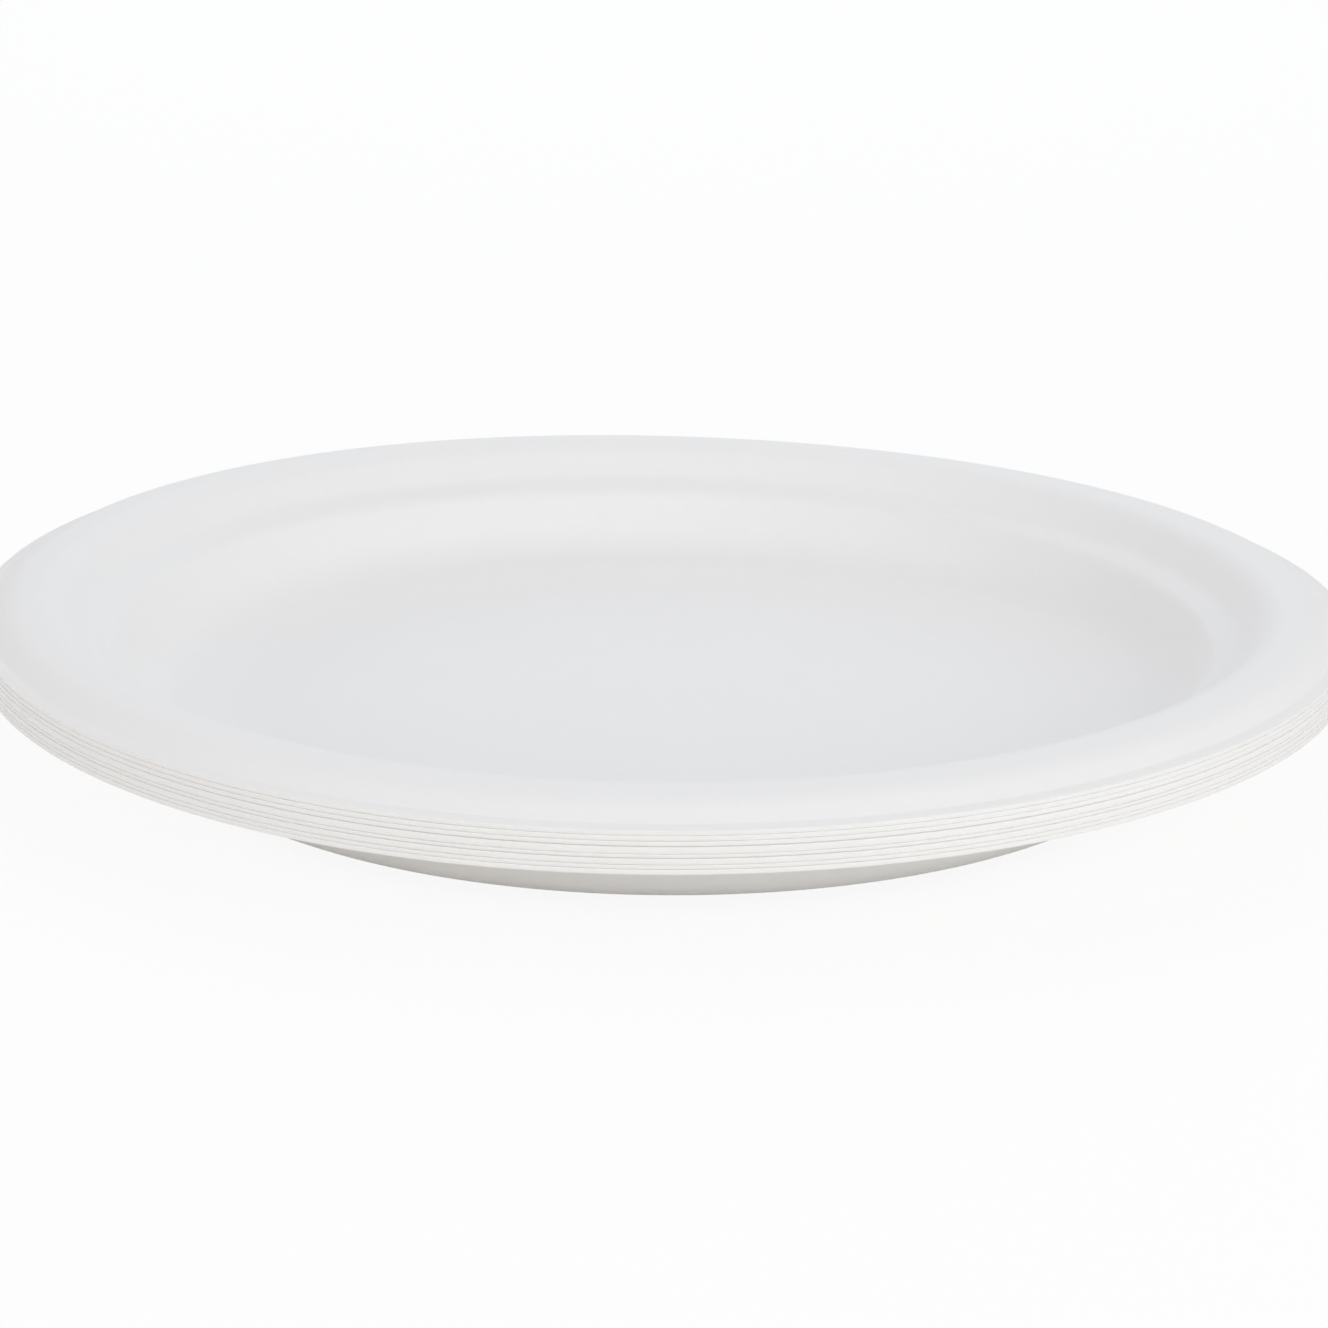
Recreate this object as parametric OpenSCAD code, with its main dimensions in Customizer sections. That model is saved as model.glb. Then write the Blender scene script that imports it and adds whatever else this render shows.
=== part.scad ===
// Stack of eight moulded bagasse plates, nested one in another.
// All plates have the same section, turned about Z. The stack stands on z = 0,
// with its axis on the origin.

/* [Plate] */
// Diameter of a plate at its cut edge
plate_d = 260; // [220:1:300]
// Height of a plate, from the surface it stands on to the top of its rim
plate_h = 24; // [21:0.5:32]

/* [Rim] */
// Width of the whole rim, from the ledge out to the cut edge
rim_w = 20.7; // [18.5:0.1:24]
// Depth from the top of the rim down to the underside of the cut edge
rim_drop = 4.43; // [4:0.01:5.5]
// Width of the narrow flange that ends in the cut edge
flange_w = 2.2; // [1.5:0.1:3]
// Slope of the flange, falling outwards
flange_slope = 8; // [0:1:15]
// Radius between the rim and its flange
flange_round = 1.5; // [0.8:0.1:2]
// Slope of the outer side of the rim, falling outwards
rim_slope = 38; // [32:1:44]
// Radius from the crown to the outer side of the rim
outer_round = 7; // [3:0.5:8]
// Slope of the crown, falling outwards
crown_slope = 4; // [2:1:8]
// Radius from the upper wall to the crown
inner_round = 6.5; // [3:0.5:7.5]

/* [Ledge] */
// Depth from the top of the rim down to the inner edge of the ledge
ledge_drop = 8.8; // [7.8:0.1:9.8]
// Width of the ledge
ledge_w = 4.8; // [3.8:0.1:6]
// Slope of the ledge, rising outwards
ledge_slope = 20; // [10:1:26]
// Radius over the inner edge of the ledge
ledge_round = 3.5; // [1:0.1:4]
// Slope of the wall from the ledge up to the crown
upper_slope = 52; // [46:1:56]
// Radius between the ledge and the upper wall
upper_round = 5.5; // [1:0.1:6]

/* [Well] */
// Slope of the side wall below the ledge
wall_slope = 64; // [54:1:68]
// Radius between the heel and the side wall
foot_round = 11; // [4:0.5:12]
// Width of the shallow heel between the flat floor and the side wall
heel_w = 16.8; // [14:0.1:24]
// Slope of the heel
heel_slope = 9; // [4:1:12]
// Radius between the floor and the heel
heel_round = 40; // [20:1:60]

/* [Sheet] */
// Thickness of the moulded fibre on the floor, the ledge and the rim
sheet_t = 0.76; // [0.5:0.02:0.84]
// Height from one plate to the next in the stack
pitch = 0.92; // [0.86:0.02:1.6]
// Least gap between two nested plates, measured upright
nest_gap = 0.05; // [0.04:0.01:0.1]

/* [Hidden] */
$fn = 96;
// Turn of one step along a rounded corner, in degrees
step_angle = 6;
bagasse = [0.93, 0.925, 0.91];

// Corner points [radius, height] of a plate's upper surface before they are rounded,
// worked out from the cut edge inwards and from the top downwards
edge_r = plate_d / 2;
edge_h = plate_h - rim_drop;
edge_z = edge_h + sheet_t / cos(flange_slope);
flange_r = edge_r - flange_w;
flange_z = edge_z + flange_w * tan(flange_slope);
upper_r = edge_r - rim_w;
ledge_r = upper_r - ledge_w;
ledge_z = plate_h - ledge_drop;
upper_z = ledge_z + ledge_w * tan(ledge_slope);
foot_z = sheet_t + heel_w * tan(heel_slope);
foot_r = ledge_r - (ledge_z - foot_z) / tan(wall_slope);
heel_r = foot_r - heel_w;

// The crown starts where it would meet the upper wall, so high that the arc between
// them reaches the height of the plate
inner_reach = inner_round * tan((upper_slope + crown_slope) / 2);
inner_z = plate_h + inner_reach * sin(crown_slope) - inner_round * (1 - cos(crown_slope));
inner_r = upper_r + (inner_z - upper_z) / tan(upper_slope);

// It ends where it would meet the outer side of the rim
outer_r = (flange_z - inner_z + flange_r * tan(rim_slope) - inner_r * tan(crown_slope))
          / (tan(rim_slope) - tan(crown_slope));
outer_z = inner_z - (outer_r - inner_r) * tan(crown_slope);

// Each corner is [point, rounding radius, slope before it, slope after it]
corners = [
    [[heel_r, sheet_t], heel_round, 0, heel_slope],
    [[foot_r, foot_z], foot_round, heel_slope, wall_slope],
    [[ledge_r, ledge_z], ledge_round, wall_slope, ledge_slope],
    [[upper_r, upper_z], upper_round, ledge_slope, upper_slope],
    [[inner_r, inner_z], inner_round, upper_slope, -crown_slope],
    [[outer_r, outer_z], outer_round, -crown_slope, -rim_slope],
    [[flange_r, flange_z], flange_round, -rim_slope, -flange_slope],
];

// Direction along the section at a slope, and the direction square to it, upwards
function along(slope) = [cos(slope), sin(slope)];
function square_to(slope) = [-sin(slope), cos(slope)];

// Centre of the arc that rounds a corner, and the points [point, slope] along that arc
function arc_side(corner) = sign(corner[3] - corner[2]);
function arc_centre(corner) =
    corner[0]
    - along(corner[2]) * corner[1] * tan(abs(corner[3] - corner[2]) / 2)
    + square_to(corner[2]) * corner[1] * arc_side(corner);
function arc_steps(corner) = ceil(abs(corner[3] - corner[2]) / step_angle);
function arc_points(corner) = [
    for (i = [0 : arc_steps(corner)])
        let (slope = corner[2] + (corner[3] - corner[2]) * i / arc_steps(corner))
        [arc_centre(corner) - square_to(slope) * corner[1] * arc_side(corner), slope]
];

// The rounded upper surface, from the axis to the cut edge
surface = concat(
    [[[0, sheet_t], 0]],
    [for (corner = corners) each arc_points(corner)],
    [[[edge_r, edge_z], -flange_slope]]
);

top_line = [for (place = surface) place[0]];

// A sheet between the upper surface and a lower line
module sheet(lower_line) {
    polygon(concat(
        top_line,
        [for (i = [len(lower_line) - 1 : -1 : 0]) lower_line[i]]
    ));
}

// Section of a plate, from the axis to the cut edge. The underside lies one thickness
// below the upper surface, square to it. Where a wall is so steep that nested plates
// would bind, the fibre is thinner and leaves the nest gap.
module section() {
    square_line = [for (place = surface) place[0] - square_to(place[1]) * sheet_t];
    nest_line = [for (point = top_line) point - [0, pitch - nest_gap]];
    intersection() {
        sheet(concat(square_line, [[edge_r, edge_h]]));
        sheet(nest_line);
    }
}

// One plate of the stack, counted from the bottom
module plate(number) {
    color(bagasse)
    translate([0, 0, (number - 1) * pitch])
    rotate_extrude()
    section();
}

plate(1);  // plate_1
plate(2);  // plate_2
plate(3);  // plate_3
plate(4);  // plate_4
plate(5);  // plate_5
plate(6);  // plate_6
plate(7);  // plate_7
plate(8);  // plate_8
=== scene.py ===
import bpy
import math
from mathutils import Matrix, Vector, noise


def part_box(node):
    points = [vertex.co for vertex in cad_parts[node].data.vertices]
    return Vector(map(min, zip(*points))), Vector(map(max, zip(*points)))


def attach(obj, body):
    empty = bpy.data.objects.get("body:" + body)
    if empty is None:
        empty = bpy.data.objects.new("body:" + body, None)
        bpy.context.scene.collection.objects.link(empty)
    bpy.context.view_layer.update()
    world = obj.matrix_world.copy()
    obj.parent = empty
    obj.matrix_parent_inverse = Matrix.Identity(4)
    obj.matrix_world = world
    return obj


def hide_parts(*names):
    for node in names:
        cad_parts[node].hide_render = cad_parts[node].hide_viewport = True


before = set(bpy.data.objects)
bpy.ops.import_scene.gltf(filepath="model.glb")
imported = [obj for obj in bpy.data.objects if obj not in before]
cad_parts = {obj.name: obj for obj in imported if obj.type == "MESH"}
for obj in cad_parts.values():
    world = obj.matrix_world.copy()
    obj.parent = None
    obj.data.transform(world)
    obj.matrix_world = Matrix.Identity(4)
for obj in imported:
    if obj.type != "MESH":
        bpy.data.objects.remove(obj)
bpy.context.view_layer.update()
plateNames = sorted(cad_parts)
print("frame loaded with", len(plateNames), "plates")

mm = 0.001


# The section of one plate, worked out from its cut edge inwards.
# Sizes in millimetres, slopes in degrees, heights above the surface it stands on.
plateSection = {
    "sheet": 0.76,
    "height": 24.0,
    "edgeRadius": 130.0,
    "rimDrop": 4.43,
    "rimWidth": 20.7,
    "flangeWidth": 2.2,
    "flangeSlope": 8.0,
    "flangeRound": 1.5,
    "rimSlope": 38.0,
    "outerRound": 7.0,
    "crownSlope": 4.0,
    "innerRound": 6.5,
    "upperSlope": 52.0,
    "upperRound": 5.5,
    "ledgeDrop": 8.8,
    "ledgeWidth": 4.8,
    "ledgeSlope": 20.0,
    "ledgeRound": 3.5,
    "wallSlope": 64.0,
    "footRound": 11.0,
    "heelWidth": 16.8,
    "heelSlope": 9.0,
    "heelRound": 40.0,
    "arcStep": 5.0,  # degrees that one short line of a rounded corner turns
    "lineStep": 3.5,  # longest short line along a straight stretch
}

# How a plate is made from that section
plateMesh = {
    "spinSteps": 240,
    "pitch": 0.92,  # height from plate to plate, which the thickness on steep walls follows
    "nestGap": 0.1,
    "mergeWithin": 0.001,
    "edgeBevel": 0.06,
    "edgeSegments": 2,
    "bevelOver": 60.0,  # degrees from which an edge counts as sharp and is rounded
    "smoothUnder": 40.0,
}

# How the real plates are out of true, in millimetres
plateWarp = {
    "startRadius": 84.0,  # the floor inside this radius stays flat
    "fullRadius": 104.0,
    "sideTilt": -0.53,
    "twist": 0.70,
    "saddle": -0.75,
    "rimStart": 108.0,
    # thickness of each plate's cut edge and the gap under it, from the lowest plate up
    "edgeSheets": [0.89, 0.68, 1.01, 0.60, 1.19, 0.80, 0.88, 0.77],
    "edgeGaps": [-0.26, 0.07, 0.07, 0.12, 0.08, 0.13, 0.06, 0.06],
    "sideGap": 0.03,  # gap that is left at the sides, where the edges lie closer
    "edgeSway": 0.04,
    "swayScale": 1.3,
    "edgeFray": 0.04,
    "fraySize": 5.0,
    "frayStart": 0.8,  # share of the way to the cut edge from which it frays
    "edgeBand": 0.3,  # width of the ring that the rounded cut edge takes up
}


def slopeLine(slope):
    return Vector((math.cos(slope), math.sin(slope)))


def squareTo(slope):
    return Vector((-math.sin(slope), math.cos(slope)))


# Each corner is its radius, height and rounding, and the slopes before and after it
def sectionCorners(s):
    heel, wall, ledge = (math.radians(s[k]) for k in ("heelSlope", "wallSlope", "ledgeSlope"))
    upper, crown, rim, flange = (
        math.radians(s[k]) for k in ("upperSlope", "crownSlope", "rimSlope", "flangeSlope")
    )
    edgeZ = s["height"] - s["rimDrop"] + s["sheet"] / math.cos(flange)
    flangeR = s["edgeRadius"] - s["flangeWidth"]
    flangeZ = edgeZ + s["flangeWidth"] * math.tan(flange)
    upperR = s["edgeRadius"] - s["rimWidth"]
    ledgeR = upperR - s["ledgeWidth"]
    ledgeZ = s["height"] - s["ledgeDrop"]
    upperZ = ledgeZ + s["ledgeWidth"] * math.tan(ledge)
    footZ = s["sheet"] + s["heelWidth"] * math.tan(heel)
    footR = ledgeR - (ledgeZ - footZ) / math.tan(wall)
    arcEnd = s["innerRound"] * math.tan((upper + crown) / 2)
    innerZ = s["height"] + arcEnd * math.sin(crown) - s["innerRound"] * (1 - math.cos(crown))
    innerR = upperR + (innerZ - upperZ) / math.tan(upper)
    fall = flangeR * math.tan(rim) - innerR * math.tan(crown)
    outerR = (flangeZ - innerZ + fall) / (math.tan(rim) - math.tan(crown))
    outerZ = innerZ - (outerR - innerR) * math.tan(crown)
    corners = [
        (footR - s["heelWidth"], s["sheet"], s["heelRound"], 0, heel),
        (footR, footZ, s["footRound"], heel, wall),
        (ledgeR, ledgeZ, s["ledgeRound"], wall, ledge),
        (upperR, upperZ, s["upperRound"], ledge, upper),
        (innerR, innerZ, s["innerRound"], upper, -crown),
        (outerR, outerZ, s["outerRound"], -crown, -rim),
        (flangeR, flangeZ, s["flangeRound"], -rim, -flange),
    ]
    return corners, (s["edgeRadius"], edgeZ)


# Points of the section with every corner rounded, [radius, height] in millimetres
def sectionPoints(s):
    corners, edge = sectionCorners(s)
    points = [Vector((0, s["sheet"]))]
    for radius, height, rounding, before, after in corners:
        side = 1 if after > before else -1
        turn = abs(after - before)
        start = Vector((radius, height)) - slopeLine(before) * rounding * math.tan(turn / 2)
        centre = start + squareTo(before) * rounding * side
        steps = max(2, math.ceil(math.degrees(turn) / s["arcStep"]))
        for i in range(steps + 1):
            slope = before + (after - before) * i / steps
            points.append(centre - squareTo(slope) * rounding * side)
    points.append(Vector(edge))
    dense = [points[0]]
    for a, b in zip(points, points[1:]):
        count = max(1, math.ceil((b - a).length / s["lineStep"]))
        dense += [a.lerp(b, i / count) for i in range(1, count + 1)]
    return dense


# Draws the section as a chain of edges, spins it round Z and closes it
def spinPlate(name):
    points = [Vector((p.x, 0, p.y)) * mm for p in sectionPoints(plateSection)]
    bpy.ops.object.select_all(action="DESELECT")
    bpy.ops.mesh.primitive_plane_add(size=10 * mm)
    plate = bpy.context.object
    plate.name = plate.data.name = name
    bpy.ops.object.mode_set(mode="EDIT")
    bpy.ops.mesh.select_mode(type="VERT")
    bpy.ops.mesh.select_all(action="SELECT")
    bpy.ops.mesh.merge(type="CENTER")
    bpy.ops.transform.translate(value=points[0])
    for here, there in zip(points, points[1:]):
        bpy.ops.mesh.extrude_region_move(TRANSFORM_OT_translate={"value": there - here})
    bpy.ops.mesh.select_all(action="SELECT")
    bpy.ops.mesh.spin(
        steps=plateMesh["spinSteps"], angle=2 * math.pi, center=(0, 0, 0), axis=(0, 0, 1)
    )
    bpy.ops.mesh.select_all(action="SELECT")
    bpy.ops.mesh.remove_doubles(threshold=plateMesh["mergeWithin"] * mm)
    bpy.ops.mesh.normals_make_consistent(inside=False)
    bpy.ops.object.mode_set(mode="OBJECT")
    if plate.data.polygons[0].normal.z < 0:
        plate.data.flip_normals()
    return plate


# Gives the sheet its thickness, less on the steep walls, and rounds the cut edge
def thickenPlate(plate):
    sheet = plateSection["sheet"]
    upright = plateMesh["pitch"] - plateMesh["nestGap"]
    group = plate.vertex_groups.new(name="thickness")
    for v in plate.data.vertices:
        share = min(1, upright * abs(v.normal.z) / sheet)
        group.add([v.index], share, "REPLACE")
    solid = plate.modifiers.new("sheet", "SOLIDIFY")
    solid.thickness = sheet * mm
    solid.offset = -1
    solid.use_even_offset = False
    solid.vertex_group = group.name
    solid.thickness_vertex_group = 0
    solid.shell_vertex_group = plate.vertex_groups.new(name="underside").name
    solid.material_offset = 1
    solid.material_offset_rim = 2
    bevel = plate.modifiers.new("cutEdge", "BEVEL")
    bevel.width = plateMesh["edgeBevel"] * mm
    bevel.segments = plateMesh["edgeSegments"]
    bevel.limit_method = "ANGLE"
    bevel.angle_limit = math.radians(plateMesh["bevelOver"])
    for modifier in ("sheet", "cutEdge"):
        bpy.ops.object.modifier_apply(modifier=modifier)
    plate.vertex_groups.remove(plate.vertex_groups["thickness"])
    bpy.ops.object.shade_smooth_by_angle(angle=math.radians(plateMesh["smoothUnder"]))


# Moves a plate to its height and bends it as the photo's plates are bent
def warpPlate(plate, number, lift):
    w = plateWarp
    edge = plateSection["edgeRadius"]
    span = w["fullRadius"] - w["startRadius"]
    evenSheet = plateSection["sheet"] / math.cos(math.radians(plateSection["flangeSlope"]))
    lowEdge = sum(w["edgeSheets"][:number]) + sum(w["edgeGaps"][: number + 1])
    lowLift = lowEdge - number * plateMesh["pitch"]
    highLift = lowLift + w["edgeSheets"][number] - evenSheet
    closing = max(0, w["edgeGaps"][number] - w["sideGap"])
    underside = plate.vertex_groups["underside"].index
    middle = plateSection["height"] - plateSection["rimDrop"] + plateSection["sheet"] / 2
    for v in plate.data.vertices:
        x, y = v.co.x / mm, v.co.y / mm
        radius = math.hypot(x, y)
        if radius <= w["startRadius"]:
            v.co.z += lift
            continue
        share = min(1, (radius - w["startRadius"]) / span)
        share *= share * (3 - 2 * share) * (radius / edge) ** 2
        sx, sy = x / radius, y / radius
        bend = w["sideTilt"] * sx - 2 * w["twist"] * sx * sy + w["saddle"] * (sy * sy - sx * sx)
        rim = max(0, (radius - w["rimStart"]) / (edge - w["rimStart"])) ** 2
        swayPlace = Vector((w["swayScale"] * sx, w["swayScale"] * sy, 5.1 * number))
        below = any(group.group == underside for group in v.groups)
        if radius > edge - w["edgeBand"]:
            below = v.co.z / mm < middle
        edgeLift = lowLift - closing * sx ** 4 if below else highLift
        bend = bend * share + rim * (edgeLift + w["edgeSway"] * noise.noise(swayPlace))
        v.co.z += lift + bend * mm
        frayPlace = Vector((x / w["fraySize"], y / w["fraySize"], 3.7 * number))
        frayShare = max(0, rim - w["frayStart"]) / (1 - w["frayStart"])
        fray = noise.noise(frayPlace) * frayShare
        v.co.x += sx * w["edgeFray"] * fray * mm
        v.co.y += sy * w["edgeFray"] * fray * mm
    plate.vertex_groups.clear()


# The three finishes of the pressed fibre. The underside's colour is lighter than the face's,
# partly for its rougher screen side and partly as painted light on the base, which lies in
# shade.
bagasse = {
    "face": {"color": (0.88, 0.875, 0.865), "roughness": 0.62, "bump": 0.25},
    # underside: colour raised above the face's as painted light, lightening the shaded base and
    # the undersides of the edges
    "underside": {"color": (0.90, 0.888, 0.865), "roughness": 0.75, "bump": 0.35},
    "cutEdge": {"color": (0.89, 0.878, 0.856), "roughness": 0.85, "bump": 0.15},
}

# What all finishes share. Scales are per metre, and a tone runs from a noise value's
# low and high end to a factor on the colour.
fibre = {
    "gloss": 0.35,
    "strandTurns": (12, 57, 103, 151),
    "strandScale": (350, 3800, 900),
    "strandBend": 0.6,
    "strandTone": (0.35, 0.8, 0.985, 1.01),
    "cloudScale": 60.0,
    "cloudTone": (0.3, 0.7, 0.997, 1.003),
    "grainScale": 2600.0,
    "reliefDepth": 0.04,
}


def addNode(tree, kind, **values):
    node = tree.nodes.new(kind)
    for key, value in values.items():
        if key in node.inputs:
            node.inputs[key].default_value = value
        else:
            setattr(node, key, value)
    return node


# Joins two values with a maths node and gives back its output
def combine(tree, operation, first, second):
    node = addNode(tree, "ShaderNodeMath", operation=operation)
    tree.links.new(first, node.inputs[0])
    tree.links.new(second, node.inputs[1])
    return node.outputs[0]


def toneOf(tree, source, tone):
    node = addNode(tree, "ShaderNodeMapRange")
    for key, value in zip(("From Min", "From Max", "To Min", "To Max"), tone):
        node.inputs[key].default_value = value
    tree.links.new(source, node.inputs["Value"])
    return node.outputs[0]


# Pressed sugar-cane fibre: soft clouds, short fibres lying all ways and a fine grain
def bagasseMaterial(name, values):
    material = bpy.data.materials.new(name)
    material.use_nodes = True
    tree = material.node_tree
    tree.nodes.clear()
    link = tree.links.new
    output = addNode(tree, "ShaderNodeOutputMaterial")
    shader = addNode(tree, "ShaderNodeBsdfPrincipled", Roughness=values["roughness"])
    shader.inputs["Specular IOR Level"].default_value = fibre["gloss"]
    link(shader.outputs[0], output.inputs[0])
    place = addNode(tree, "ShaderNodeTexCoord").outputs["Object"]
    clouds = addNode(tree, "ShaderNodeTexNoise", Scale=fibre["cloudScale"], Detail=3.0)
    link(place, clouds.inputs["Vector"])
    strands = []
    for turn in fibre["strandTurns"]:
        turned = (0, 0, math.radians(turn))
        lay = addNode(tree, "ShaderNodeMapping", Scale=fibre["strandScale"], Rotation=turned)
        strand = addNode(
            tree, "ShaderNodeTexNoise", Scale=1.0, Detail=2.0, Distortion=fibre["strandBend"]
        )
        link(place, lay.inputs["Vector"])
        link(lay.outputs[0], strand.inputs["Vector"])
        strands.append(strand.outputs["Fac"])
    highest = strands[0]
    for strand in strands[1:]:
        highest = combine(tree, "MAXIMUM", highest, strand)
    strandTone = toneOf(tree, highest, fibre["strandTone"])
    cloudTone = toneOf(tree, clouds.outputs["Fac"], fibre["cloudTone"])
    paint = addNode(tree, "ShaderNodeVectorMath", operation="SCALE")
    paint.inputs[0].default_value = values["color"]
    link(combine(tree, "MULTIPLY", strandTone, cloudTone), paint.inputs["Scale"])
    link(paint.outputs[0], shader.inputs["Base Color"])
    grain = addNode(tree, "ShaderNodeTexNoise", Scale=fibre["grainScale"], Detail=3.0)
    link(place, grain.inputs["Vector"])
    depth = fibre["reliefDepth"] * mm
    bump = addNode(tree, "ShaderNodeBump", Strength=values["bump"], Distance=depth)
    link(combine(tree, "ADD", highest, grain.outputs["Fac"]), bump.inputs["Height"])
    link(bump.outputs[0], shader.inputs["Normal"])
    return material


finishes = [bagasseMaterial(name, values) for name, values in bagasse.items()]
print("materials made")

master = spinPlate("plateMaster")
for finish in finishes:
    master.data.materials.append(finish)
thickenPlate(master)
print("one plate spun:", len(master.data.polygons), "faces")

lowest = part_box(plateNames[0])[0].z
for number, nodeName in enumerate(plateNames):
    plate = master.copy()
    plate.data = master.data.copy()
    plate.name = plate.data.name = "moulded_" + nodeName
    bpy.context.collection.objects.link(plate)
    warpPlate(plate, number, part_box(nodeName)[0].z - lowest)
    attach(plate, "root")
    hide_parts(nodeName)
bpy.data.objects.remove(master)
print("plates stacked")


# Floor and light. A lamp is aimed at the plates from a bearing and a height, both in
# degrees: bearing 0 is the camera's side and 90 the plates' right.
studio = {
    "floorSize": 6.0,
    "floorColor": (0.90, 0.875, 0.84),
    "floorGlow": 0.9,  # share of plain white that the camera sees in the floor
    "world": (0.446, 0.444, 0.443),
    "lampDistance": 1.6,
    "lampSize": 1.0,
}

lamps = {
    "frontLow": {"bearing": 0, "height": 8, "power": 6.2, "color": (0.98, 1.0, 0.99)},
    "frontRightLow": {"bearing": 40, "height": 10, "power": 1.8, "color": (0.47, 0.63, 1.0)},
    "frontRightHigh": {"bearing": 40, "height": 28, "power": 5.9, "color": (1.0, 1.0, 1.0)},
    "rightLamp": {"bearing": 80, "height": 30, "power": 2.4, "color": (1.0, 0.98, 0.94)},
    "leftLow": {"bearing": -80, "height": 10, "power": 3.7, "color": (0.88, 0.87, 1.0)},
    "leftHigh": {"bearing": -80, "height": 30, "power": 2.6, "color": (1.0, 0.98, 0.97)},
    "backLow": {"bearing": 180, "height": 30, "power": 4.25, "color": (0.73, 0.85, 1.0)},
    "backHigh": {"bearing": 180, "height": 60, "power": 2.9, "color": (0.97, 0.95, 1.0)},
}


def cameraRays(tree):
    path = addNode(tree, "ShaderNodeLightPath")
    seen = path.outputs["Is Camera Ray"]
    for other in ("Is Glossy Ray", "Is Transmission Ray"):
        seen = combine(tree, "MAXIMUM", seen, path.outputs[other])
    return seen


# Mixes plain white into a shader, for what the camera sees only
def whiteForCamera(tree, shader, share):
    white = addNode(tree, "ShaderNodeEmission", Strength=1.0)
    mix = addNode(tree, "ShaderNodeMixShader")
    part = addNode(tree, "ShaderNodeMath", operation="MULTIPLY")
    part.inputs[1].default_value = share
    tree.links.new(cameraRays(tree), part.inputs[0])
    tree.links.new(part.outputs[0], mix.inputs[0])
    tree.links.new(shader.outputs[0], mix.inputs[1])
    tree.links.new(white.outputs[0], mix.inputs[2])
    return mix


bpy.ops.object.select_all(action="DESELECT")
bpy.ops.mesh.primitive_plane_add(size=studio["floorSize"], location=(0, 0, lowest))
floor = bpy.context.object
floor.name = "floor"
floorMaterial = bpy.data.materials.new("whiteFloor")
floorMaterial.use_nodes = True
floorTree = floorMaterial.node_tree
floorTree.nodes.clear()
tint = addNode(floorTree, "ShaderNodeMix", data_type="RGBA")
tint.inputs["A"].default_value = (*studio["floorColor"], 1)
tint.inputs["B"].default_value = (1, 1, 1, 1)
matt = addNode(floorTree, "ShaderNodeBsdfDiffuse")
floorTree.links.new(cameraRays(floorTree), tint.inputs["Factor"])
floorTree.links.new(tint.outputs["Result"], matt.inputs["Color"])
seenFloor = whiteForCamera(floorTree, matt, studio["floorGlow"])
floorOutput = addNode(floorTree, "ShaderNodeOutputMaterial")
floorTree.links.new(seenFloor.outputs[0], floorOutput.inputs[0])
floor.data.materials.append(floorMaterial)

world = bpy.data.worlds.new("studio")
bpy.context.scene.world = world
world.use_nodes = True
worldTree = world.node_tree
worldTree.nodes.clear()
dome = addNode(worldTree, "ShaderNodeBackground", Color=(*studio["world"], 1), Strength=1.0)
seenWorld = whiteForCamera(worldTree, dome, 1.0)
worldOutput = addNode(worldTree, "ShaderNodeOutputWorld")
worldTree.links.new(seenWorld.outputs[0], worldOutput.inputs[0])

for name, values in lamps.items():
    bearing, height = math.radians(values["bearing"]), math.radians(values["height"])
    place = Vector((
        math.sin(bearing) * math.cos(height),
        -math.cos(bearing) * math.cos(height),
        math.sin(height),
    )) * studio["lampDistance"]
    bpy.ops.object.light_add(type="AREA", location=place)
    lamp = bpy.context.object
    lamp.name = name
    lamp.data.size = studio["lampSize"]
    lamp.data.energy = values["power"]
    lamp.data.color = values["color"]
    lamp.rotation_euler = (-place).to_track_quat("-Z", "Y").to_euler()
print("studio lit")


# The photo's view, which looks along +Y and slightly down
photoView = {
    "distance": 0.7,
    "elevation": 17.95,
    "roll": 0.69,
    "aimHeight": 2.53,
    "lens": 97.8,
    "sensor": 36,
    "shift": (0.0012, 0.0412),
    "clipStart": 0.01,
}

aim = Vector((0, 0, lowest + photoView["aimHeight"] * mm))
rise = math.radians(photoView["elevation"])
back = Vector((0, -math.cos(rise), math.sin(rise)))
bpy.ops.object.camera_add(location=aim + back * photoView["distance"])
camera = bpy.context.object
camera.name = "photoCamera"
camera.rotation_euler = (math.pi / 2 - rise, 0, 0)
camera.rotation_euler.rotate_axis("Z", math.radians(photoView["roll"]))
camera.data.lens = photoView["lens"]
camera.data.sensor_width = photoView["sensor"]
camera.data.shift_x, camera.data.shift_y = photoView["shift"]
camera.data.clip_start = photoView["clipStart"]
bpy.context.scene.camera = camera
bpy.context.scene.view_settings.view_transform = "Standard"

print("view set")
